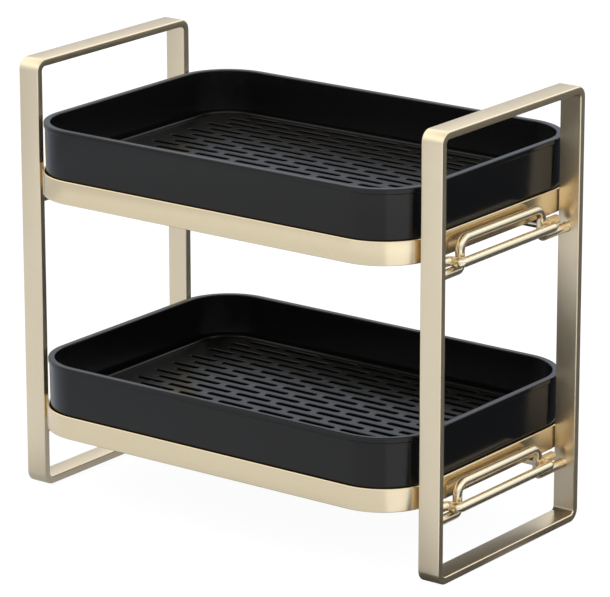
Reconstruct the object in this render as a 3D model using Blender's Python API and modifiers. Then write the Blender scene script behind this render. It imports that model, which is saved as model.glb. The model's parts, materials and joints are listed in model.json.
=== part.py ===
# Two-tier countertop organizer: two flat-bar side frames carry two lift-off
# shelves, and each shelf holds a lift-out tray with a slotted drain plate in it.
# Units are metres. X runs along the length, Y towards the back, Z up.
# The origin is on the floor, midway between the side frames and under the shelves' middle.

import math

import bmesh
import bpy
from mathutils import Vector

# Whole rack
RACK_HEIGHT = 0.330
RACK_LENGTH = 0.380
GAP = 0.0003  # play between pieces that rest on or sit next to each other

# Side frames: loops of flat bar
FRAME_DEPTH = 0.179
FRAME_SHIFT = 0.0043  # how far the frames' middle is in front of the shelves' middle
BAR_WIDTH = 0.018
BAR_THICK = 0.0056
BAR_BEND = 0.009  # outer radius of the bent corners
BAR_EDGE = 0.0009  # rounding of the bar's long edges

# Shelf rings: hoops of flat band
SHELF_DEPTH = 0.2376
SHELF_CORNER = 0.0444
BAND_HEIGHT = 0.0176
BAND_THICK = 0.0018
BAND_EDGE = 0.0004
UPPER_SHELF_Z = 0.2336  # lower edge of the upper ring
LOWER_SHELF_Z = 0.0530  # lower edge of the lower ring

# Round wire pieces
WIRE = 0.007  # wire diameter
HOOK_SET = 0.0002  # hook wire's outer side, in from the rack's end
HOOK_DROP = 0.003  # hook wire's centre below the ring's lower edge
HOOK_PLAY = 0.0005  # play between hook wire and raised bar, lengthways
HOOK_BEND = 0.004
FOOT_CLEAR = 0.0069  # from the tips of the hook wire's feet to the uprights
CRANK_RUN = 0.0327  # from each upright to the raised bar's leg
CRANK_RISE = 0.0112  # raised bar's centre above the ring's lower edge
CRANK_BEND = 0.006
SUPPORT_SET = 0.0023  # support rods, outwards from the hook wire's legs

# Trays
TRAY_PLAY = 0.0007  # play between tray and ring at the ring's upper edge
TRAY_DRAFT = 0.0006  # how much the tray widens from base to rim, each side
TRAY_RISE = 0.0371  # rim above the ring
TRAY_WALL = 0.0042
TRAY_FLOOR = 0.002
TRAY_BASE_EDGE = 0.003
TRAY_INNER_EDGE = 0.003
RIM_REACH = 0.0008  # how far the rim stands out from the wall
RIM_HEIGHT = 0.0035
RIM_EDGE = 0.001  # rounding of the rim's edges

# Drain plates
PLATE_END_GAP = 0.0063  # between plate and tray wall at each end
PLATE_SIDE_GAP = 0.0043  # between plate and tray wall at front and back
PLATE_CORNER_EASE = 0.0125  # how much tighter the plate's corners are than the tray's
PLATE_THICK = 0.002
PLATE_RISE = 0.0047  # upper face above the ring
BEAD_RADIUS = 0.0016
BEAD_SINK = 0.0002  # bead's centre below the plate's upper face
BEAD_INSET = 0.0021  # bead's centre in from the plate's edge
SLOT_WIDTH = 0.005
SLOT_LENGTH = 0.032
SLOT_BRIDGE = 0.0055
SLOT_POINT = 0.0016  # how far a slot's end tapers
ROW_PITCH = 0.0109
ROW_MARGIN = 0.009  # middle of the outermost row, in from the plate's edge
FIELD_MARGIN = 0.019  # end of the slotted field, in from the plate's edge
FIELD_CORNER = 0.016  # how much the field's corners are cut back
SLOT_LEAST = 0.014  # shortest slot worth cutting at the field's end
LEG_RADIUS = 0.0035
LEG_INSET = 0.0094  # legs' centres in from the plate's short sides
SIDE_LEG_INSET = 0.0050  # legs' centres in from the plate's long sides
LEG_SPREAD = 0.070  # legs at the short sides, from the middle

# Facets
BEND_STEPS = 5
CORNER_STEPS = 8
WIRE_RESOLUTION = 3
LEG_SIDES = 12
BEAD_RESOLUTION = 2
CUT_OVERSHOOT = 0.001
QUARTER_TURN = math.pi / 2
EDGE_ANGLE = math.radians(50)
SMOOTH_ANGLE = math.radians(35)
WELD = 0.00001

# Derived places
HALF_LENGTH = RACK_LENGTH / 2
HALF_INSIDE = FRAME_DEPTH / 2 - BAR_THICK  # from the middle to an upright
SHELF_LENGTH = RACK_LENGTH - 2 * (BAR_WIDTH + GAP)
SUPPORT_DROP = GAP + WIRE / 2  # support rod's centre below the ring
REST_DROP = HOOK_DROP + WIRE + GAP  # crank's rest below the ring
HOOK_X = HALF_LENGTH - HOOK_SET - WIRE / 2
CRANK_X = HOOK_X - WIRE - GAP
FOOT_X = SHELF_LENGTH / 2 + GAP + WIRE / 2
CRANK_END = HALF_INSIDE - GAP
CRANK_HALF = HALF_INSIDE - CRANK_RUN  # half length of the raised bar
HOOK_HALF = CRANK_HALF + WIRE + HOOK_PLAY  # half length of the hook wire's outer rod
HOOK_REACH = HALF_INSIDE - FOOT_CLEAR
SUPPORT_Y = HOOK_HALF + SUPPORT_SET
SUPPORT_END = FOOT_X - WIRE / 2 - GAP
TRAY_HEIGHT = BAND_HEIGHT + TRAY_RISE
TRAY_INSET = BAND_THICK + TRAY_PLAY  # tray's wall in from the ring's outside
TRAY_CORNER = SHELF_CORNER - BAND_THICK - GAP
PLATE_LENGTH = SHELF_LENGTH - 2 * (TRAY_INSET + TRAY_WALL + PLATE_END_GAP)
PLATE_DEPTH = SHELF_DEPTH - 2 * (TRAY_INSET + TRAY_WALL + PLATE_SIDE_GAP)
PLATE_CORNER = TRAY_CORNER - TRAY_WALL - PLATE_CORNER_EASE
PLATE_TOP = BAND_HEIGHT + PLATE_RISE
ROW_COUNT = int((PLATE_DEPTH - 2 * ROW_MARGIN) / ROW_PITCH) + 1
FIELD_END = PLATE_LENGTH / 2 - FIELD_MARGIN
LEG_BOTTOM = TRAY_FLOOR + GAP

GOLD = (0.640, 0.560, 0.400, 1.0)
GOLD_ROUGHNESS = 0.32
BLACK = (0.020, 0.020, 0.021, 1.0)
BLACK_ROUGHNESS = 0.48
DARK = (0.026, 0.026, 0.027, 1.0)
DARK_ROUGHNESS = 0.42

for old in list(bpy.data.objects):
    bpy.data.objects.remove(old, do_unlink=True)

rack = bpy.data.collections.new("two_tier_organizer")
bpy.context.scene.collection.children.link(rack)
construction = bpy.data.collections.new("construction")
bpy.context.scene.collection.children.link(construction)
construction.hide_render = True


def material(name, colour, roughness, metallic):
    """One plain surface per piece."""
    made = bpy.data.materials.new(name)
    made.use_nodes = True
    shader = made.node_tree.nodes["Principled BSDF"]
    shader.inputs["Base Color"].default_value = colour
    shader.inputs["Roughness"].default_value = roughness
    shader.inputs["Metallic"].default_value = metallic
    made.diffuse_color = colour
    return made


def gold(name):
    return material(name + "_finish", GOLD, GOLD_ROUGHNESS, 1.0)


def black(name):
    return material(name + "_finish", BLACK, BLACK_ROUGHNESS, 0.0)


def place(name, mesh, finish, location, parent=None):
    """Put a finished mesh in the rack's collection, its place given in the rack's frame."""
    made = bpy.data.objects.new(name, mesh)
    mesh.name = name
    rack.objects.link(made)
    offset = Vector((0, 0, 0))
    if parent is not None:
        made.parent = parent
        offset = parent.matrix_world.translation
    made.location = Vector(location) - offset
    mesh.materials.clear()
    mesh.materials.append(finish)
    bpy.context.view_layer.update()
    return made


def smooth(mesh):
    mesh.polygons.foreach_set("use_smooth", [True] * len(mesh.polygons))
    mesh.set_sharp_from_angle(angle=SMOOTH_ANGLE)


def mesh_of(curve):
    """Turn a curve into a welded mesh and drop the curve."""
    holder = bpy.data.objects.new("outline", curve)
    construction.objects.link(holder)
    bpy.context.view_layer.update()
    depsgraph = bpy.context.evaluated_depsgraph_get()
    mesh = bpy.data.meshes.new_from_object(holder.evaluated_get(depsgraph))
    bpy.data.objects.remove(holder, do_unlink=True)
    form = bmesh.new()
    form.from_mesh(mesh)
    bmesh.ops.remove_doubles(form, verts=form.verts, dist=WELD)
    bmesh.ops.recalc_face_normals(form, faces=form.faces)
    form.to_mesh(mesh)
    form.free()
    return mesh


def add_spline(curve, points, closed):
    spline = curve.splines.new("POLY")
    spline.points.add(len(points) - 1)
    for spot, point in zip(spline.points, points):
        spot.co = (point[0], point[1], point[2] if len(point) > 2 else 0, 1)
    spline.use_cyclic_u = closed


def slab(outlines, thickness):
    """A flat piece from an outline and its openings, from z = 0 up to its thickness."""
    curve = bpy.data.curves.new("slab", "CURVE")
    curve.dimensions = "2D"
    curve.fill_mode = "BOTH"
    curve.extrude = thickness / 2
    for outline in outlines:
        add_spline(curve, outline, True)
    mesh = mesh_of(curve)
    for vertex in mesh.vertices:
        vertex.co.z += thickness / 2
    return mesh


def tube(points, radius, resolution, closed=False):
    """Round wire along a path, with capped ends."""
    curve = bpy.data.curves.new("tube", "CURVE")
    curve.dimensions = "3D"
    curve.bevel_depth = radius
    curve.bevel_resolution = resolution
    curve.use_fill_caps = not closed
    curve.twist_mode = "MINIMUM"
    add_spline(curve, points, closed)
    return mesh_of(curve)


def round_rect(half_x, half_y, radius, steps):
    """Outline of a rectangle with round corners, anticlockwise."""
    outline = []
    for index, (sign_x, sign_y) in enumerate(((1, 1), (-1, 1), (-1, -1), (1, -1))):
        centre_x = sign_x * (half_x - radius)
        centre_y = sign_y * (half_y - radius)
        for step in range(steps + 1):
            angle = QUARTER_TURN * (index + step / steps)
            outline.append((centre_x + radius * math.cos(angle), centre_y + radius * math.sin(angle)))
    return outline


def bent_path(corners, radius, steps):
    """Path through the corners, each inner corner replaced by a bend."""
    spots = [Vector(corner) for corner in corners]
    path = [spots[0]]
    for before, corner, after in zip(spots, spots[1:], spots[2:]):
        inward = (before - corner).normalized()
        outward = (after - corner).normalized()
        half = inward.angle(outward) / 2
        centre = corner + (inward + outward).normalized() * (radius / math.sin(half))
        reach = radius / math.tan(half)
        start = corner + inward * reach - centre
        end = corner + outward * reach - centre
        turn = start.angle(end)
        for step in range(steps + 1):
            share = step / steps
            mixed = start * math.sin((1 - share) * turn) + end * math.sin(share * turn)
            path.append(centre + mixed / math.sin(turn))
    path.append(spots[-1])
    return path


def loft(rings):
    """Solid through a stack of rings with equal point counts, capped at both ends."""
    form = bmesh.new()
    face = form.faces.new([form.verts.new(point) for point in rings[0]])
    base = face.copy()
    base.normal_flip()
    for ring in rings[1:]:
        grown = bmesh.ops.extrude_discrete_faces(form, faces=[face])
        face = grown["faces"][0]
        for vertex, point in zip(face.verts, ring):
            vertex.co = point
    bmesh.ops.remove_doubles(form, verts=form.verts, dist=WELD)
    bmesh.ops.recalc_face_normals(form, faces=form.faces)
    mesh = bpy.data.meshes.new("loft")
    form.to_mesh(mesh)
    form.free()
    return mesh


def soften(made, width, segments):
    """Round the sharp edges of a piece."""
    bevel = made.modifiers.new("softened edges", "BEVEL")
    bevel.width = width
    bevel.segments = segments
    bevel.limit_method = "ANGLE"
    bevel.angle_limit = EDGE_ANGLE


def side_frame(name, side):
    """Closed loop of flat bar standing on its lower run."""
    half_depth = FRAME_DEPTH / 2
    half_height = RACK_HEIGHT / 2
    outer = round_rect(half_depth, half_height, BAR_BEND, BEND_STEPS)
    inner = round_rect(half_depth - BAR_THICK, half_height - BAR_THICK, BAR_BEND - BAR_THICK, BEND_STEPS)
    mesh = slab([outer, inner], BAR_WIDTH)
    for vertex in mesh.vertices:
        depth, height, across = vertex.co
        vertex.co = (across - BAR_WIDTH / 2, depth, height + half_height)
    centre_x = side * (HALF_LENGTH - BAR_WIDTH / 2)
    made = place(name, mesh, gold(name), (centre_x, -FRAME_SHIFT, 0))
    soften(made, BAR_EDGE, 2)
    smooth(mesh)
    return made


def crank_wire(name, side, shelf_z, parent):
    """Wire between the uprights of a side frame, with a raised bar in the middle."""
    corners = [
        (0, -CRANK_END, -REST_DROP),
        (0, -CRANK_HALF, -REST_DROP),
        (0, -CRANK_HALF, CRANK_RISE),
        (0, CRANK_HALF, CRANK_RISE),
        (0, CRANK_HALF, -REST_DROP),
        (0, CRANK_END, -REST_DROP),
    ]
    mesh = tube(bent_path(corners, CRANK_BEND, BEND_STEPS), WIRE / 2, WIRE_RESOLUTION)
    smooth(mesh)
    return place(name, mesh, gold(name), (side * CRANK_X, -FRAME_SHIFT, shelf_z), parent)


def hook_wire(name, side, parent):
    """Hat-shaped wire at a shelf's end: its outer rod hooks over the far side of the crank wire."""
    foot = side * FOOT_X
    rod = side * HOOK_X
    corners = [
        (foot, -HOOK_REACH, 0),
        (foot, -HOOK_HALF, 0),
        (rod, -HOOK_HALF, 0),
        (rod, HOOK_HALF, 0),
        (foot, HOOK_HALF, 0),
        (foot, HOOK_REACH, 0),
    ]
    mesh = tube(bent_path(corners, HOOK_BEND, BEND_STEPS), WIRE / 2, WIRE_RESOLUTION)
    smooth(mesh)
    height = parent.matrix_world.translation.z - HOOK_DROP
    return place(name, mesh, gold(name), (0, -FRAME_SHIFT, height), parent)


def support_rod(name, side, parent):
    """Straight rod under the tray, from one hook wire to the other."""
    mesh = tube([(-SUPPORT_END, 0, 0), (SUPPORT_END, 0, 0)], WIRE / 2, WIRE_RESOLUTION)
    smooth(mesh)
    height = parent.matrix_world.translation.z - SUPPORT_DROP
    return place(name, mesh, gold(name), (0, side * SUPPORT_Y - FRAME_SHIFT, height), parent)


def shelf_ring(name, shelf_z):
    """Hoop of flat band around the tray."""
    half_x = SHELF_LENGTH / 2
    half_y = SHELF_DEPTH / 2
    outer = round_rect(half_x, half_y, SHELF_CORNER, CORNER_STEPS)
    inner = round_rect(
        half_x - BAND_THICK, half_y - BAND_THICK, SHELF_CORNER - BAND_THICK, CORNER_STEPS
    )
    mesh = slab([outer, inner], BAND_HEIGHT)
    made = place(name, mesh, gold(name), (0, 0, shelf_z))
    soften(made, BAND_EDGE, 1)
    smooth(mesh)
    return made


def tray(name, parent):
    """Open tray with slightly flared walls and a rim that stands out a little."""
    flare = TRAY_DRAFT * TRAY_RISE / TRAY_HEIGHT
    rim_x = SHELF_LENGTH / 2 - TRAY_INSET + flare
    rim_y = SHELF_DEPTH / 2 - TRAY_INSET + flare

    def ring(height, inset):
        drafted = inset + TRAY_DRAFT * (1 - height / TRAY_HEIGHT)
        outline = round_rect(rim_x - drafted, rim_y - drafted, TRAY_CORNER - drafted, CORNER_STEPS)
        return [(x, y, height) for x, y in outline]

    diagonal = 1 - math.sqrt(0.5)
    rim_base = TRAY_HEIGHT - RIM_HEIGHT
    rim_side = TRAY_HEIGHT - RIM_EDGE
    rim_turn = TRAY_HEIGHT - RIM_EDGE * diagonal
    rings = [
        ring(0, TRAY_BASE_EDGE),
        ring(TRAY_BASE_EDGE * diagonal, TRAY_BASE_EDGE * diagonal),
        ring(TRAY_BASE_EDGE, 0),
        ring(rim_base - RIM_REACH, 0),
        ring(rim_base, -RIM_REACH),
        ring(rim_side, -RIM_REACH),
        ring(rim_turn, RIM_EDGE * diagonal - RIM_REACH),
        ring(TRAY_HEIGHT, RIM_EDGE - RIM_REACH),
        ring(TRAY_HEIGHT, TRAY_WALL - RIM_EDGE),
        ring(rim_turn, TRAY_WALL - RIM_EDGE * diagonal),
        ring(rim_side, TRAY_WALL),
        ring(TRAY_FLOOR + TRAY_INNER_EDGE, TRAY_WALL),
        ring(TRAY_FLOOR + TRAY_INNER_EDGE * diagonal, TRAY_WALL + TRAY_INNER_EDGE * diagonal),
        ring(TRAY_FLOOR, TRAY_WALL + TRAY_INNER_EDGE),
    ]
    mesh = loft(rings)
    smooth(mesh)
    return place(name, mesh, black(name), parent.matrix_world.translation, parent)


def slot_outline(start, end, middle):
    half = SLOT_WIDTH / 2
    return [
        (start, middle),
        (start + SLOT_POINT, middle - half),
        (end - SLOT_POINT, middle - half),
        (end, middle),
        (end - SLOT_POINT, middle + half),
        (start + SLOT_POINT, middle + half),
    ]


def slot_field():
    """Rows of slots, every second row shifted by half a pitch, cut back at the field's ends."""
    pitch = SLOT_LENGTH + SLOT_BRIDGE
    outlines = []
    for row in range(ROW_COUNT):
        middle = (row - (ROW_COUNT - 1) / 2) * ROW_PITCH
        from_edge = min(row, ROW_COUNT - 1 - row)
        cut = max(0, FIELD_CORNER - from_edge * ROW_PITCH)
        limit = FIELD_END - cut
        shift = pitch / 2 if row % 2 else 0
        reach = int(limit / pitch) + 1
        for place_along in range(-reach - 1, reach + 1):
            centre = place_along * pitch + shift
            start = max(centre - SLOT_LENGTH / 2, -limit)
            end = min(centre + SLOT_LENGTH / 2, limit)
            if end - start >= SLOT_LEAST:
                outlines.append(slot_outline(start, end, middle))
    return outlines


def operand(name, mesh, location):
    """Hidden piece that is joined to a plate or cut from it."""
    made = bpy.data.objects.new(name, mesh)
    construction.objects.link(made)
    made.location = location
    made.hide_render = True
    made.display_type = "WIRE"
    return made


def join(made, other):
    union = made.modifiers.new("joined " + other.name, "BOOLEAN")
    union.operation = "UNION"
    union.solver = "EXACT"
    union.object = other


def cut(made, other):
    difference = made.modifiers.new("cut " + other.name, "BOOLEAN")
    difference.operation = "DIFFERENCE"
    difference.solver = "EXACT"
    difference.object = other


def drain_plate(name, parent):
    """Slotted plate with a raised bead round its edge and six legs that stand on the tray's floor."""
    half_x = PLATE_LENGTH / 2
    half_y = PLATE_DEPTH / 2
    outline = round_rect(half_x, half_y, PLATE_CORNER, CORNER_STEPS)
    mesh = slab([outline], PLATE_THICK)
    base = parent.matrix_world.translation
    made = place(name, mesh, material(name + "_finish", DARK, DARK_ROUGHNESS, 0.0),
                 base + Vector((0, 0, PLATE_TOP - PLATE_THICK)), parent)
    edge = round_rect(
        half_x - BEAD_INSET, half_y - BEAD_INSET, PLATE_CORNER - BEAD_INSET, CORNER_STEPS
    )
    bead = tube(edge, BEAD_RADIUS, BEAD_RESOLUTION, closed=True)
    join(made, operand(name + "_bead", bead, base + Vector((0, 0, PLATE_TOP - BEAD_SINK))))
    leg_x = half_x - LEG_INSET
    leg_y = half_y - SIDE_LEG_INSET
    spots = [(x * leg_x, y * LEG_SPREAD) for x in (-1, 1) for y in (-1, 1)]
    spots += [(0, -leg_y), (0, leg_y)]
    leg_height = PLATE_TOP - PLATE_THICK / 2 - LEG_BOTTOM
    for index, (x, y) in enumerate(spots):
        form = bmesh.new()
        bmesh.ops.create_cone(form, cap_ends=True, segments=LEG_SIDES, radius1=LEG_RADIUS,
                              radius2=LEG_RADIUS, depth=leg_height)
        leg = bpy.data.meshes.new("leg")
        form.to_mesh(leg)
        form.free()
        middle = base + Vector((x, y, LEG_BOTTOM + leg_height / 2))
        join(made, operand(name + "_leg_" + str(index + 1), leg, middle))
    slots = slab(slot_field(), PLATE_THICK + 2 * CUT_OVERSHOOT)
    low = base + Vector((0, 0, PLATE_TOP - PLATE_THICK - CUT_OVERSHOOT))
    cut(made, operand(name + "_slots", slots, low))
    return made


left_frame = side_frame("left_side_frame", -1)
right_frame = side_frame("right_side_frame", 1)

for tier, tier_z in (("upper", UPPER_SHELF_Z), ("lower", LOWER_SHELF_Z)):
    crank_wire(tier + "_left_crank_wire", -1, tier_z, left_frame)
    crank_wire(tier + "_right_crank_wire", 1, tier_z, right_frame)
    ring = shelf_ring(tier + "_shelf_ring", tier_z)
    support_rod(tier + "_front_support_rod", -1, ring)
    support_rod(tier + "_rear_support_rod", 1, ring)
    hook_wire(tier + "_left_hook_wire", -1, ring)
    hook_wire(tier + "_right_hook_wire", 1, ring)
    tray_piece = tray(tier + "_tray", ring)
    drain_plate(tier + "_drain_plate", tray_piece)
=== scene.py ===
# Looks of the two-tier organizer: satin gold frames, shelves and wires, and
# black trays with slotted drain plates. Every size is in metres.

import json
import math

import bmesh
import bpy
from mathutils import Matrix, Vector


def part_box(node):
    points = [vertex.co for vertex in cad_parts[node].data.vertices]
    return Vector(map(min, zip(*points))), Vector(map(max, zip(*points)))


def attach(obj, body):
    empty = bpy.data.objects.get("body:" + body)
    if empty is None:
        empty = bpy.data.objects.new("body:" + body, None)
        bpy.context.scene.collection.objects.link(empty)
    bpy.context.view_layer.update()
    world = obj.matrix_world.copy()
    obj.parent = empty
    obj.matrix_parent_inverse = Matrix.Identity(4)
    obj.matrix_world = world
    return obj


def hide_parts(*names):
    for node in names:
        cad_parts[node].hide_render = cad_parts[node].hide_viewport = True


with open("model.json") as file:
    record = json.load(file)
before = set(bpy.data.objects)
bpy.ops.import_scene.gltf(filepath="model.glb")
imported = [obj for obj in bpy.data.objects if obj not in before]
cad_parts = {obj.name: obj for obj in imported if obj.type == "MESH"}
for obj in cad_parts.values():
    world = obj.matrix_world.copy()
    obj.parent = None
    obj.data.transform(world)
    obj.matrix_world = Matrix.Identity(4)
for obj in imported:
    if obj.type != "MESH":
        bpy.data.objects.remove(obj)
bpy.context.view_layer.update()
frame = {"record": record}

TIERS = ("upper", "lower")
SIDES = (("left", -1), ("right", 1))

# Photograph
PHOTO_WIDTH = 610
FOCAL_PIXELS = 4030.2
CAMERA_PLACE = (1.7090, -2.2827, 1.0108)
CAMERA_AZIMUTH = math.radians(36.77)
CAMERA_ELEVATION = math.radians(16.72)
CAMERA_ROLL = math.radians(-0.05)
CAMERA_SHIFT_X = -0.00104
CAMERA_SHIFT_Y = 0.00506
SENSOR_WIDTH = 36.0

# Side frames
BAR_THICK = 0.0056
BAR_BEND = 0.009
BAR_EDGE = 0.001

# Shelf rings
SHELF_CORNER = 0.0444
BAND_THICK = 0.0018
BAND_EDGE = 0.0008

# Round wire
WIRE_EDGE = 0.0007
CRANK_HALF = 0.0512
CRANK_TOP_BEND = 0.0078
CRANK_FOOT_BEND = 0.0032
HOOK_HALF = 0.0587
HOOK_BEND = 0.004
GAP = 0.0003
WELD_FLARE = 0.0004
WELD_LENGTH = 0.0011

# Trays
TRAY_WALL = 0.0042
TRAY_FLOOR = 0.002
TRAY_CORNER = 0.0423
TRAY_DRAFT = 0.0006
TRAY_EDGE = 0.003
RIM_REACH = 0.0008
RIM_HEIGHT = 0.0034
RIM_EDGE = 0.0009

# Drain plates
PLATE_THICK = 0.002
PLATE_CORNER = 0.0256
BEAD_RADIUS = 0.0016
BEAD_SINK = 0.0002
BEAD_INSET = 0.0021
SLOT_WIDTH = 0.005
SLOT_LENGTH = 0.032
SLOT_BRIDGE = 0.0055
SLOT_EDGE = 0.0004
ROW_PITCH = 0.0109
ROW_COUNT = 19
FIELD_MARGIN = 0.019
FIELD_CORNER = 0.016
SLOT_LEAST = 0.014
LEG_RADIUS = 0.0035
LEG_INSET = 0.0094
SIDE_LEG_INSET = 0.0050
LEG_SPREAD = 0.070
CUT_OVERSHOOT = 0.001

# Floor
FLOOR_HALF = 3.0
FLOOR_PALE = (0.9, 0.9, 0.9, 1)
FLOOR_ROUGHNESS = 0.9
FLOOR_GLOW = 1.06
FLOOR_WHITE_SHARE = 0.9

# Floor as the metal sees it, a glow with painted light and shade: azimuths in degrees about a
# pivot, and reaches in shares of the rack's footprint or in metres
DARK_SIDE = 0.06
FLOOR_PIVOT = (0.17, -0.11)
FLOOR_DARK_AZIMUTH = 81.5
FLOOR_DARK_SPREAD = (81.5, 84.5)
KEY_BOOST = 0.37
KEY_AZIMUTH = -26.5
KEY_SPREAD = (23.5, 26.5)
FOOTPRINT = (0.19, 0.12)
UNDER_REACH = (0.9, 1.1)
NEAR_SHADE = 0.45
NEAR_REACH = (1.0, 2.0)
ONE_METRE = (1, 1)
FAR_LIFT = 1.19
FAR_REACH = (0.85, 1.10)
CORNER_SHADE = 0.64
CORNER_X = (-0.95, -0.70)
FRONT_TINT = (0.84, 0.92, 1.09, 1)

# Studio round the rack: azimuths in degrees, and heights as sines of the elevation
DARK_AZIMUTH = 46.0
DARK_SPREAD = (44.0, 54.0)
DARK_HEIGHTS = (-0.10, 0.08)
BACK_LEVEL = 0.58
BACK_AZIMUTH = 127.0
BACK_SPREAD = (30.0, 45.0)
BACK_HEIGHTS = (0.25, 0.50)
TOP_BOOST = 0.6
TOP_HEIGHTS = (0.15, 0.50)
ZENITH_HEIGHTS = (0.70, 0.95)
TINT_HEIGHTS = (0.30, 0.60)
TOP_TINT = (0.98, 1.0, 1.03, 1)
SIDE_TINT = (0.80, 0.88, 1.02, 1)
WHITE = (1, 1, 1, 1)

# Metal finishes: colour and roughness
FRAME_FINISH = ((0.800, 0.647, 0.420), 0.28)
RING_FINISH = ((0.795, 0.632, 0.382), 0.21)
WIRE_FINISH = ((0.805, 0.675, 0.455), 0.19)
METALLIC = 0.92
METAL_CLOUD_SHADE = 0.96
METAL_GLOSS_SPREAD = 1.15
METAL_GRAIN_STRENGTH = 0.008
METAL_GRAIN_DEPTH = 0.00005

# Plastic finishes: colour, roughness, specular level and grain strength
TRAY_FINISH = ((0.0035, 0.0035, 0.0036), 0.17, 0.33, 0.08)
PLATE_FINISH = ((0.0034, 0.0032, 0.0028), 0.24, 0.22, 0.12)
PLASTIC_TINT = (1.0, 0.91, 0.75, 1)
PLASTIC_CLOUD_SHADE = 1.25
PLASTIC_GLOSS_SPREAD = 0.03
PLASTIC_GRAIN_DEPTH = 0.00006

# Noise: scale per metre, detail and roughness
METAL_CLOUDS = (34.0, 3.0, 0.5)
METAL_GLOSS = (90.0, 4.0, 0.5)
METAL_GRAIN = (4200.0, 2.0, 0.5)
PLASTIC_CLOUDS = (22.0, 2.0, 0.5)
PLASTIC_GLOSS = (160.0, 4.0, 0.5)
PLASTIC_GRAIN = (2600.0, 3.0, 0.6)
NOISE_RANGE = (0.3, 0.7)

# Sockets of a Mix node that blends colours
MIX_FIRST = 6
MIX_SECOND = 7
MIX_RESULT = 2

# Facets
BEND_STEPS = 12
CORNER_STEPS = 24
WIRE_SIDES = 24
SLOT_STEPS = 5
EDGE_STEPS = 5
QUARTER_TURN = math.pi / 2
EDGE_ANGLE = math.radians(50)
SMOOTH_ANGLE = math.radians(40)


def socket(node, name, value):
    node.inputs[name].default_value = value


def shader_of(name):
    """A new material and its Principled shader."""
    made = bpy.data.materials.new(name)
    made.use_nodes = True
    return made, made.node_tree, made.node_tree.nodes["Principled BSDF"]


def noise(tree, scale, detail, roughness):
    """Noise in the object's own space, where one unit is a metre."""
    place = tree.nodes.new("ShaderNodeTexCoord")
    made = tree.nodes.new("ShaderNodeTexNoise")
    socket(made, "Scale", scale)
    socket(made, "Detail", detail)
    socket(made, "Roughness", roughness)
    tree.links.new(place.outputs["Object"], made.inputs["Vector"])
    return made


def ranged(tree, source, low, high):
    """Maps a noise value to the range from low to high."""
    made = tree.nodes.new("ShaderNodeMapRange")
    socket(made, "From Min", NOISE_RANGE[0])
    socket(made, "From Max", NOISE_RANGE[1])
    socket(made, "To Min", low)
    socket(made, "To Max", high)
    tree.links.new(source, made.inputs["Value"])
    return made.outputs["Result"]


def tinted(tree, factor, first, second):
    """Blends two colours by a factor."""
    made = tree.nodes.new("ShaderNodeMix")
    made.data_type = "RGBA"
    socket(made, MIX_FIRST, first)
    socket(made, MIX_SECOND, second)
    tree.links.new(factor, made.inputs[0])
    return made.outputs[MIX_RESULT]


def bumped(tree, shader, height, strength, distance):
    made = tree.nodes.new("ShaderNodeBump")
    socket(made, "Strength", strength)
    socket(made, "Distance", distance)
    tree.links.new(height, made.inputs["Height"])
    tree.links.new(made.outputs["Normal"], shader.inputs["Normal"])


def satin_gold(name, tone, roughness):
    """Champagne metal with a fine satin grain and faint clouds in its colour and gloss."""
    made, tree, shader = shader_of(name)
    socket(shader, "Metallic", METALLIC)
    clouds = noise(tree, *METAL_CLOUDS)
    deeper = tuple(value * METAL_CLOUD_SHADE for value in tone) + (1,)
    colour = tinted(tree, clouds.outputs["Fac"], deeper, tone + (1,))
    tree.links.new(colour, shader.inputs["Base Color"])
    gloss = noise(tree, *METAL_GLOSS)
    rougher = ranged(tree, gloss.outputs["Fac"], roughness, roughness * METAL_GLOSS_SPREAD)
    tree.links.new(rougher, shader.inputs["Roughness"])
    grain = noise(tree, *METAL_GRAIN)
    bumped(tree, shader, grain.outputs["Fac"], METAL_GRAIN_STRENGTH, METAL_GRAIN_DEPTH)
    return made


def black_plastic(name, tone, roughness, shine, grain_strength):
    """Moulded black plastic with a fine grain."""
    made, tree, shader = shader_of(name)
    clouds = noise(tree, *PLASTIC_CLOUDS)
    lighter = tuple(value * PLASTIC_CLOUD_SHADE for value in tone) + (1,)
    colour = tinted(tree, clouds.outputs["Fac"], tone + (1,), lighter)
    tree.links.new(colour, shader.inputs["Base Color"])
    gloss = noise(tree, *PLASTIC_GLOSS)
    low = roughness - PLASTIC_GLOSS_SPREAD
    high = roughness + PLASTIC_GLOSS_SPREAD
    tree.links.new(ranged(tree, gloss.outputs["Fac"], low, high), shader.inputs["Roughness"])
    socket(shader, "Specular IOR Level", shine)
    socket(shader, "Specular Tint", PLASTIC_TINT)
    grain = noise(tree, *PLASTIC_GRAIN)
    bumped(tree, shader, grain.outputs["Fac"], grain_strength, PLASTIC_GRAIN_DEPTH)
    return made


def round_rect(half_x, half_y, radius, steps):
    """Outline of a rectangle with round corners, anticlockwise."""
    outline = []
    for index, (sign_x, sign_y) in enumerate(((1, 1), (-1, 1), (-1, -1), (1, -1))):
        centre_x = sign_x * (half_x - radius)
        centre_y = sign_y * (half_y - radius)
        for step in range(steps + 1):
            angle = QUARTER_TURN * (index + step / steps)
            outline.append((centre_x + radius * math.cos(angle), centre_y + radius * math.sin(angle)))
    return outline


def bent_path(corners, radii, steps):
    """Path through the corners, each inner corner replaced by a bend of its own radius."""
    spots = [Vector(corner) for corner in corners]
    path = [spots[0]]
    for before, corner, after, radius in zip(spots, spots[1:], spots[2:], radii):
        inward = (before - corner).normalized()
        outward = (after - corner).normalized()
        half = inward.angle(outward) / 2
        centre = corner + (inward + outward).normalized() * (radius / math.sin(half))
        reach = radius / math.tan(half)
        start = corner + inward * reach - centre
        end = corner + outward * reach - centre
        turn = start.angle(end)
        for step in range(steps + 1):
            share = step / steps
            mixed = start * math.sin((1 - share) * turn) + end * math.sin(share * turn)
            path.append(centre + mixed / math.sin(turn))
    path.append(spots[-1])
    return path


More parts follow.
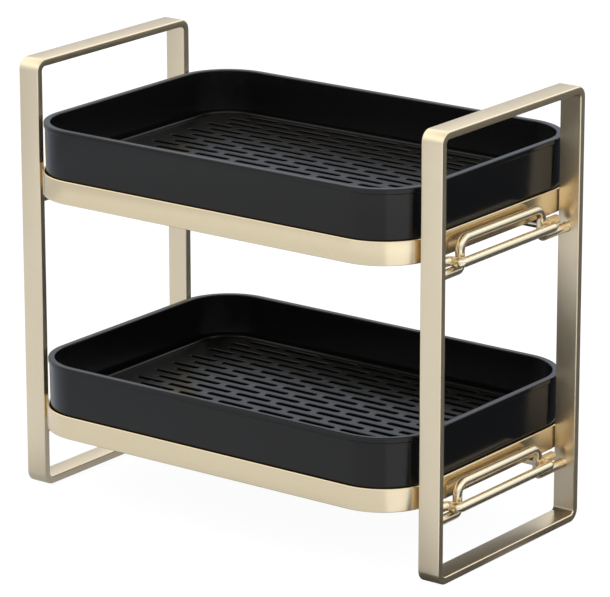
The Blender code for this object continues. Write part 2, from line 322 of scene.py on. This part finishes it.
def loft(rings, closed=False):
    """Surface through a stack of rings with equal point counts, capped unless it is closed."""
    form = bmesh.new()
    rows = [[form.verts.new(point) for point in ring] for ring in rings]
    pairs = list(zip(rows, rows[1:]))
    if closed:
        pairs.append((rows[-1], rows[0]))
    for lower, upper in pairs:
        for index, corner in enumerate(lower):
            following = (index + 1) % len(lower)
            form.faces.new((corner, lower[following], upper[following], upper[index]))
    if not closed:
        form.faces.new(list(reversed(rows[0])))
        form.faces.new(rows[-1])
    bmesh.ops.recalc_face_normals(form, faces=form.faces)
    mesh = bpy.data.meshes.new("loft")
    form.to_mesh(mesh)
    form.free()
    return mesh


def rider(name, mesh, finish, node, location=(0, 0, 0)):
    """Adds a finished mesh that rides on the body of one CAD node."""
    made = bpy.data.objects.new(name, mesh)
    bpy.context.scene.collection.objects.link(made)
    made.location = location
    mesh.polygons.foreach_set("use_smooth", [True] * len(mesh.polygons))
    mesh.set_sharp_from_angle(angle=SMOOTH_ANGLE)
    mesh.materials.clear()
    mesh.materials.append(finish)
    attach(made, body_of(node))
    return made


def piece(name, mesh, finish, node, location=(0, 0, 0)):
    """Adds a rider that stands for its CAD node."""
    made = rider(name, mesh, finish, node, location)
    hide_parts(node)
    return made


def body_of(node):
    for body, nodes in frame["record"]["behaviour"]["bodies"].items():
        if node in nodes:
            return body
    return None


def middle(node):
    low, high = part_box(node)
    return (low + high) / 2


def tube(path, radius, sides, first=(), last=()):
    """Round wire along a path. first and last list end rings as (distance along, radius)."""
    points = [Vector(point) for point in path]
    along = [(b - a).normalized() for a, b in zip(points, points[1:])]
    aims = [along[0]]
    aims += [(a + b).normalized() for a, b in zip(along, along[1:])]
    aims.append(along[-1])
    side = aims[0].orthogonal().normalized()
    spots = [(points[0] + aims[0] * reach, aims[0], size) for reach, size in first]
    spots += [(point, aim, radius) for point, aim in zip(points, aims)]
    spots += [(points[-1] - aims[-1] * reach, aims[-1], size) for reach, size in reversed(last)]
    rings = []
    for spot, aim, size in spots:
        side = (side - aim * side.dot(aim)).normalized()
        across = aim.cross(side)
        ring = []
        for index in range(sides):
            angle = 2 * math.pi * index / sides
            ring.append(spot + (side * math.cos(angle) + across * math.sin(angle)) * size)
        rings.append(ring)
    return loft(rings)


def rounded_end(radius):
    """End rings that round off a cut wire end."""
    rings = []
    for step in range(EDGE_STEPS):
        angle = QUARTER_TURN * step / EDGE_STEPS
        reach = -WIRE_EDGE * math.cos(angle)
        shrink = WIRE_EDGE * (1 - math.sin(angle))
        rings.append((reach, radius - shrink))
    return rings


def welded_end(radius):
    """End rings that flare out into a small weld fillet."""
    rings = []
    for step in range(EDGE_STEPS):
        share = step / EDGE_STEPS
        flare = WELD_FLARE * (1 - math.sin(QUARTER_TURN * share))
        rings.append((WELD_LENGTH * share - WELD_LENGTH, radius + flare))
    return rings


def band_loop(half_x, half_y, corner, thick, low, high, edge, steps):
    """Closed loop of flat bar: a round-edged rectangle swept round a rounded rectangle."""
    section = []
    spots = ((0, 1), (1, 1), (1, 0), (0, 0))
    for index, (inner, top) in enumerate(spots):
        centre_in = thick - edge if inner else edge
        centre_up = high - edge if top else low + edge
        for step in range(EDGE_STEPS + 1):
            angle = QUARTER_TURN * (2 - index - step / EDGE_STEPS)
            section.append((centre_in + edge * math.cos(angle), centre_up + edge * math.sin(angle)))
    rings = []
    outer = round_rect(half_x, half_y, corner, steps)
    inner = round_rect(half_x - thick, half_y - thick, corner - thick, steps)
    for (outer_x, outer_y), (inner_x, inner_y) in zip(outer, inner):
        ring = []
        for inset, height in section:
            share = inset / thick
            x = outer_x + (inner_x - outer_x) * share
            y = outer_y + (inner_y - outer_y) * share
            ring.append((x, y, height))
        rings.append(ring)
    return loft(rings, closed=True)


def side_frame(side_name):
    node = side_name + "_side_frame"
    low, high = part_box(node)
    half_depth = (high.y - low.y) / 2
    half_height = (high.z - low.z) / 2
    half_width = (high.x - low.x) / 2
    mesh = band_loop(
        half_depth, half_height, BAR_BEND, BAR_THICK, -half_width, half_width, BAR_EDGE, BEND_STEPS
    )
    mesh.transform(Matrix(((0, 0, 1, 0), (1, 0, 0, 0), (0, 1, 0, 0), (0, 0, 0, 1))))
    piece(node + "_form", mesh, satin_gold(node + "_gold", *FRAME_FINISH), node, middle(node))


def shelf_ring(tier):
    node = tier + "_shelf_ring"
    low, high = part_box(node)
    mesh = band_loop(
        high.x, high.y, SHELF_CORNER, BAND_THICK, 0, high.z - low.z, BAND_EDGE, CORNER_STEPS
    )
    piece(node + "_form", mesh, satin_gold(node + "_gold", *RING_FINISH), node, (0, 0, low.z))


def crank_wire(tier, side_name):
    node = "_".join((tier, side_name, "crank_wire"))
    low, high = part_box(node)
    radius = (high.x - low.x) / 2
    x = (low.x + high.x) / 2
    end = (high.y - low.y) / 2 - WELD_LENGTH + GAP
    rest = low.z + radius
    bar = high.z - radius
    corners = [
        (x, -end, rest),
        (x, -CRANK_HALF, rest),
        (x, -CRANK_HALF, bar),
        (x, CRANK_HALF, bar),
        (x, CRANK_HALF, rest),
        (x, end, rest),
    ]
    radii = (CRANK_FOOT_BEND, CRANK_TOP_BEND, CRANK_TOP_BEND, CRANK_FOOT_BEND)
    path = bent_path(corners, radii, BEND_STEPS)
    mesh = tube(path, radius, WIRE_SIDES, welded_end(radius), welded_end(radius))
    piece(node + "_form", mesh, satin_gold(node + "_gold", *WIRE_FINISH), node, (0, middle(node).y, 0))


def hook_wire(tier, side_name, side):
    node = "_".join((tier, side_name, "hook_wire"))
    low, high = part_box(node)
    crank_low, crank_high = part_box("_".join((tier, side_name, "crank_wire")))
    radius = (crank_high.x - crank_low.x) / 2
    inner = (low.x if side > 0 else high.x) + side * radius
    outer = (high.x if side > 0 else low.x) - side * radius
    tip = (high.y - low.y) / 2 - WIRE_EDGE
    z = (low.z + high.z) / 2
    corners = [
        (inner, -tip, z),
        (inner, -HOOK_HALF, z),
        (outer, -HOOK_HALF, z),
        (outer, HOOK_HALF, z),
        (inner, HOOK_HALF, z),
        (inner, tip, z),
    ]
    path = bent_path(corners, [HOOK_BEND] * 4, BEND_STEPS)
    mesh = tube(path, radius, WIRE_SIDES, rounded_end(radius), rounded_end(radius))
    piece(node + "_form", mesh, satin_gold(node + "_gold", *WIRE_FINISH), node, (0, middle(node).y, 0))


def support_rod(tier, place):
    node = "_".join((tier, place, "support_rod"))
    low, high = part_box(node)
    radius = (high.y - low.y) / 2
    y = (low.y + high.y) / 2
    z = (low.z + high.z) / 2
    end = high.x - WELD_LENGTH + GAP
    mesh = tube([(-end, y, z), (end, y, z)], radius, WIRE_SIDES, welded_end(radius), welded_end(radius))
    piece(node + "_form", mesh, satin_gold(node + "_gold", *WIRE_FINISH), node)


def quarter(centre_z, centre_inset, radius, start):
    """Quarter circle of (height, inset) spots, started after the given number of quarter turns."""
    spots = []
    for step in range(EDGE_STEPS + 1):
        angle = QUARTER_TURN * (start - step / EDGE_STEPS)
        spots.append((centre_z + radius * math.sin(angle), centre_inset - radius * math.cos(angle)))
    return spots


def tray(tier):
    """Open tray with flared walls, a flat rim with round edges and round edges at the floor."""
    node = tier + "_tray"
    low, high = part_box(node)
    height = high.z - low.z
    rim_base = height - RIM_HEIGHT
    spots = quarter(TRAY_EDGE, TRAY_EDGE, TRAY_EDGE, 0)[::-1]
    spots += [(rim_base - RIM_REACH, 0), (rim_base, -RIM_REACH)]
    spots += quarter(height - RIM_EDGE, RIM_EDGE - RIM_REACH, RIM_EDGE, 1)[::-1]
    spots += quarter(height - RIM_EDGE, TRAY_WALL - RIM_EDGE, RIM_EDGE, 2)[::-1]
    spots += quarter(TRAY_FLOOR + TRAY_EDGE, TRAY_WALL + TRAY_EDGE, TRAY_EDGE, 0)
    rings = []
    for z, inset in spots:
        drafted = RIM_REACH + inset + TRAY_DRAFT * (1 - z / height)
        corner = TRAY_CORNER + RIM_REACH - drafted
        outline = round_rect(high.x - drafted, high.y - drafted, corner, CORNER_STEPS)
        rings.append([(x, y, z) for x, y in outline])
    finish = black_plastic(node + "_black", *TRAY_FINISH)
    piece(node + "_form", loft(rings), finish, node, (0, 0, low.z))


def slot_outline(start, end, centre_y):
    """Outline of one slot with round ends."""
    radius = SLOT_WIDTH / 2
    outline = []
    for centre_x, turn in ((end - radius, -1), (start + radius, 1)):
        for step in range(SLOT_STEPS + 1):
            angle = QUARTER_TURN * turn + math.pi * step / SLOT_STEPS
            outline.append((centre_x + radius * math.cos(angle), centre_y + radius * math.sin(angle)))
    return outline


def slot_field(half_length):
    """Rows of slots, every second row shifted by half a pitch, cut back at the field's ends."""
    pitch = SLOT_LENGTH + SLOT_BRIDGE
    outlines = []
    for row in range(ROW_COUNT):
        centre_y = (row - (ROW_COUNT - 1) / 2) * ROW_PITCH
        from_edge = min(row, ROW_COUNT - 1 - row)
        limit = half_length - FIELD_MARGIN - max(0, FIELD_CORNER - from_edge * ROW_PITCH)
        shift = pitch / 2 if row % 2 else 0
        reach = int(limit / pitch) + 1
        for index in range(-reach - 1, reach + 1):
            centre_x = index * pitch + shift
            start = max(centre_x - SLOT_LENGTH / 2, -limit)
            end = min(centre_x + SLOT_LENGTH / 2, limit)
            if end - start >= SLOT_LEAST:
                outlines.append(slot_outline(start, end, centre_y))
    return outlines


def prism(outline, low, high):
    return loft([[(x, y, low) for x, y in outline], [(x, y, high) for x, y in outline]])


def joined(meshes):
    """One mesh from several."""
    form = bmesh.new()
    for mesh in meshes:
        form.from_mesh(mesh)
    made = bpy.data.meshes.new("joined")
    form.to_mesh(made)
    form.free()
    return made


def with_boolean(mesh, other, operation):
    """The mesh after one exact Boolean with another."""
    first = bpy.data.objects.new("first", mesh)
    second = bpy.data.objects.new("second", other)
    for made in (first, second):
        bpy.context.scene.collection.objects.link(made)
    step = first.modifiers.new("step", "BOOLEAN")
    step.operation = operation
    step.solver = "EXACT"
    step.object = second
    bpy.context.view_layer.update()
    evaluated = first.evaluated_get(bpy.context.evaluated_depsgraph_get())
    result = bpy.data.meshes.new_from_object(evaluated)
    for made in (first, second):
        bpy.data.objects.remove(made, do_unlink=True)
    return result


def plate_bead(half_x, half_y, height):
    """Round bead along the plate's edge."""
    path = round_rect(half_x - BEAD_INSET, half_y - BEAD_INSET, PLATE_CORNER - BEAD_INSET, CORNER_STEPS)
    rings = []
    for index, (x, y) in enumerate(path):
        before = Vector(path[index - 1])
        after = Vector(path[(index + 1) % len(path)])
        along = (after - before).normalized()
        outward = Vector((along.y, -along.x, 0))
        ring = []
        for side in range(WIRE_SIDES):
            angle = 2 * math.pi * side / WIRE_SIDES
            offset = outward * math.cos(angle) + Vector((0, 0, 1)) * math.sin(angle)
            ring.append(Vector((x, y, height)) + offset * BEAD_RADIUS)
        rings.append(ring)
    return loft(rings, closed=True)


def plate_legs(half_x, half_y, height):
    """Two legs near each end of the plate and one near the middle of each long side."""
    spots = [(x * (half_x - LEG_INSET), y * LEG_SPREAD) for x in (-1, 1) for y in (-1, 1)]
    spots += [(0, y * (half_y - SIDE_LEG_INSET)) for y in (-1, 1)]
    legs = []
    for x, y in spots:
        path = [(x, y, WIRE_EDGE), (x, y, height)]
        legs.append(tube(path, LEG_RADIUS, WIRE_SIDES, rounded_end(LEG_RADIUS)))
    return joined(legs)


def drain_plate(tier):
    """Slotted plate with softened slot edges, a round bead along its edge and six legs."""
    node = tier + "_drain_plate"
    low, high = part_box(node)
    top = high.z - BEAD_RADIUS + BEAD_SINK - low.z
    plate = prism(round_rect(high.x, high.y, PLATE_CORNER, CORNER_STEPS), top - PLATE_THICK, top)
    cuts = []
    for outline in slot_field(high.x):
        cuts.append(prism(outline, top - PLATE_THICK - CUT_OVERSHOOT, top + CUT_OVERSHOOT))
    plate = with_boolean(plate, joined(cuts), "DIFFERENCE")
    finish = black_plastic(node + "_black", *PLATE_FINISH)
    place = (0, 0, low.z)
    made = piece(node + "_form", plate, finish, node, place)
    soften = made.modifiers.new("softened slots", "BEVEL")
    soften.width = SLOT_EDGE
    soften.segments = 2
    soften.limit_method = "ANGLE"
    soften.angle_limit = EDGE_ANGLE
    rider(node + "_bead", plate_bead(high.x, high.y, top - BEAD_SINK), finish, node, place)
    rider(node + "_legs", plate_legs(high.x, high.y, top - PLATE_THICK / 2), finish, node, place)


def camera():
    data = bpy.data.cameras.new("camera")
    data.sensor_width = SENSOR_WIDTH
    data.lens = SENSOR_WIDTH * FOCAL_PIXELS / PHOTO_WIDTH
    data.shift_x = CAMERA_SHIFT_X
    data.shift_y = CAMERA_SHIFT_Y
    made = bpy.data.objects.new("camera", data)
    bpy.context.scene.collection.objects.link(made)
    turn = Matrix.Rotation(CAMERA_AZIMUTH, 4, "Z")
    tilt = Matrix.Rotation(QUARTER_TURN - CAMERA_ELEVATION, 4, "X")
    roll = Matrix.Rotation(CAMERA_ROLL, 4, "Z")
    made.matrix_world = Matrix.Translation(CAMERA_PLACE) @ turn @ tilt @ roll
    bpy.context.scene.camera = made


def math_node(tree, operation, first, second=None):
    made = tree.nodes.new("ShaderNodeMath")
    made.operation = operation
    for index, value in enumerate((first, second)):
        if value is None:
            continue
        if isinstance(value, (int, float)):
            made.inputs[index].default_value = value
        else:
            tree.links.new(value, made.inputs[index])
    return made.outputs[0]


def smooth_step(tree, value, span, low, high):
    """Runs smoothly from low to high while the value crosses the span."""
    made = tree.nodes.new("ShaderNodeMapRange")
    made.interpolation_type = "SMOOTHSTEP"
    socket(made, "From Min", span[0])
    socket(made, "From Max", span[1])
    socket(made, "To Min", low)
    socket(made, "To Max", high)
    tree.links.new(value, made.inputs["Value"])
    return made.outputs["Result"]


def axes_of(tree, space):
    """X, Y and Z of the shaded point in the given space."""
    place = tree.nodes.new("ShaderNodeTexCoord")
    parts = tree.nodes.new("ShaderNodeSeparateXYZ")
    tree.links.new(place.outputs[space], parts.inputs[0])
    return [parts.outputs[name] for name in "XYZ"]


def azimuth_of(tree, x, y):
    return math_node(tree, "DEGREES", math_node(tree, "ARCTAN2", y, x))


def away_from(tree, azimuth, centre):
    return math_node(tree, "ABSOLUTE", math_node(tree, "SUBTRACT", azimuth, centre))


def reach_of(tree, axes, halves):
    """Distance from the middle of the floor, in shares of an oval's half sizes."""
    squares = []
    for axis, half in zip(axes, halves):
        share = math_node(tree, "DIVIDE", axis, half)
        squares.append(math_node(tree, "MULTIPLY", share, share))
    return math_node(tree, "SQRT", math_node(tree, "ADD", *squares))


def studio():
    """White studio in which the metal finds a dark side low at the back right and a bright top."""
    world = bpy.data.worlds.new("studio")
    bpy.context.scene.world = world
    world.use_nodes = True
    tree = world.node_tree
    tree.nodes.clear()
    x, y, height = axes_of(tree, "Generated")
    azimuth = azimuth_of(tree, x, y)
    risen = smooth_step(tree, height, DARK_HEIGHTS, DARK_SIDE, 1.0)
    inside = smooth_step(tree, away_from(tree, azimuth, DARK_AZIMUTH), DARK_SPREAD, 1.0, 0.0)
    dimmed = math_node(tree, "MULTIPLY", inside, math_node(tree, "SUBTRACT", 1.0, risen))
    sector = math_node(tree, "SUBTRACT", 1.0, dimmed)
    behind = smooth_step(tree, away_from(tree, azimuth, BACK_AZIMUTH), BACK_SPREAD, BACK_LEVEL, 1.0)
    above = smooth_step(tree, height, BACK_HEIGHTS, 0.0, 1.0)
    wall = math_node(tree, "MULTIPLY", sector, math_node(tree, "MAXIMUM", behind, above))
    boost = smooth_step(tree, height, TOP_HEIGHTS, 0.0, TOP_BOOST)
    top = math_node(tree, "MULTIPLY", boost, smooth_step(tree, height, ZENITH_HEIGHTS, 1.0, 0.0))
    light = tree.nodes.new("ShaderNodeBackground")
    tree.links.new(math_node(tree, "ADD", wall, top), light.inputs["Strength"])
    low_share = smooth_step(tree, height, TINT_HEIGHTS, 1.0, 0.0)
    tree.links.new(tinted(tree, low_share, TOP_TINT, SIDE_TINT), light.inputs["Color"])
    seen = tree.nodes.new("ShaderNodeBackground")
    socket(seen, "Strength", 1.0)
    socket(seen, "Color", WHITE)
    path = tree.nodes.new("ShaderNodeLightPath")
    mix = tree.nodes.new("ShaderNodeMixShader")
    tree.links.new(path.outputs["Is Camera Ray"], mix.inputs[0])
    tree.links.new(light.outputs[0], mix.inputs[1])
    tree.links.new(seen.outputs[0], mix.inputs[2])
    out = tree.nodes.new("ShaderNodeOutputWorld")
    tree.links.new(mix.outputs[0], out.inputs["Surface"])


def painted_floor_glow(tree):
    """Glow that the metal finds on the floor, with painted shade dark at the back right, a painted
    brighter key patch, a painted shadow near the rack, painted light far away and painted shade far
    left.
    """
    axes = axes_of(tree, "Object")
    from_pivot = [math_node(tree, "SUBTRACT", axis, start) for axis, start in zip(axes, FLOOR_PIVOT)]
    azimuth = azimuth_of(tree, *from_pivot)
    # Painted shade: the floor's glow is dark in a sector at the back right
    from_dark = away_from(tree, azimuth, FLOOR_DARK_AZIMUTH)
    sector = smooth_step(tree, from_dark, FLOOR_DARK_SPREAD, DARK_SIDE, 1.0)
    # Painted light: a brighter key patch on the floor
    key = smooth_step(tree, away_from(tree, azimuth, KEY_AZIMUTH), KEY_SPREAD, KEY_BOOST, 0.0)
    # Under the rack the painted dark side is lifted back to full glow
    from_rack = reach_of(tree, axes, FOOTPRINT)
    under = smooth_step(tree, from_rack, UNDER_REACH, 1.0, 0.0)
    level = math_node(tree, "MAXIMUM", math_node(tree, "ADD", sector, key), under)
    # Painted shadow on the floor near the rack
    near = smooth_step(tree, from_rack, NEAR_REACH, NEAR_SHADE, 1.0)
    # Painted light far away and painted shade far to the left
    far = smooth_step(tree, reach_of(tree, axes, ONE_METRE), FAR_REACH, 1.0, FAR_LIFT)
    corner = smooth_step(tree, axes[0], CORNER_X, CORNER_SHADE, 1.0)
    for share in (near, far, corner):
        level = math_node(tree, "MULTIPLY", level, share)
    made = tree.nodes.new("ShaderNodeEmission")
    socket(made, "Color", FRONT_TINT)
    tree.links.new(level, made.inputs["Strength"])
    return made


def floor():
    """White floor that keeps a faint shadow."""
    form = bmesh.new()
    bmesh.ops.create_grid(form, x_segments=1, y_segments=1, size=FLOOR_HALF)
    mesh = bpy.data.meshes.new("floor")
    form.to_mesh(mesh)
    form.free()
    made = bpy.data.objects.new("floor", mesh)
    bpy.context.scene.collection.objects.link(made)
    made.location = (0, 0, -GAP)
    finish, tree, shader = shader_of("floor_white")
    socket(shader, "Base Color", FLOOR_PALE)
    socket(shader, "Roughness", FLOOR_ROUGHNESS)
    seen = tree.nodes.new("ShaderNodeEmission")
    socket(seen, "Strength", FLOOR_GLOW)
    path = tree.nodes.new("ShaderNodeLightPath")
    share = math_node(tree, "MULTIPLY", path.outputs["Is Camera Ray"], FLOOR_WHITE_SHARE)
    mix = tree.nodes.new("ShaderNodeMixShader")
    tree.links.new(share, mix.inputs[0])
    tree.links.new(shader.outputs[0], mix.inputs[1])
    tree.links.new(seen.outputs[0], mix.inputs[2])
    # Glossy rays see the floor's glow with painted light and shade instead of the white floor
    final = tree.nodes.new("ShaderNodeMixShader")
    tree.links.new(path.outputs["Is Glossy Ray"], final.inputs[0])
    tree.links.new(mix.outputs[0], final.inputs[1])
    tree.links.new(painted_floor_glow(tree).outputs[0], final.inputs[2])
    tree.links.new(final.outputs[0], tree.nodes["Material Output"].inputs["Surface"])
    mesh.materials.append(finish)


for side_name, side in SIDES:
    side_frame(side_name)
for tier in TIERS:
    for side_name, side in SIDES:
        crank_wire(tier, side_name)
        hook_wire(tier, side_name, side)
    shelf_ring(tier)
    support_rod(tier, "front")
    support_rod(tier, "rear")
    tray(tier)
    drain_plate(tier)
camera()
studio()
floor()
bpy.context.scene.view_settings.view_transform = "Standard"
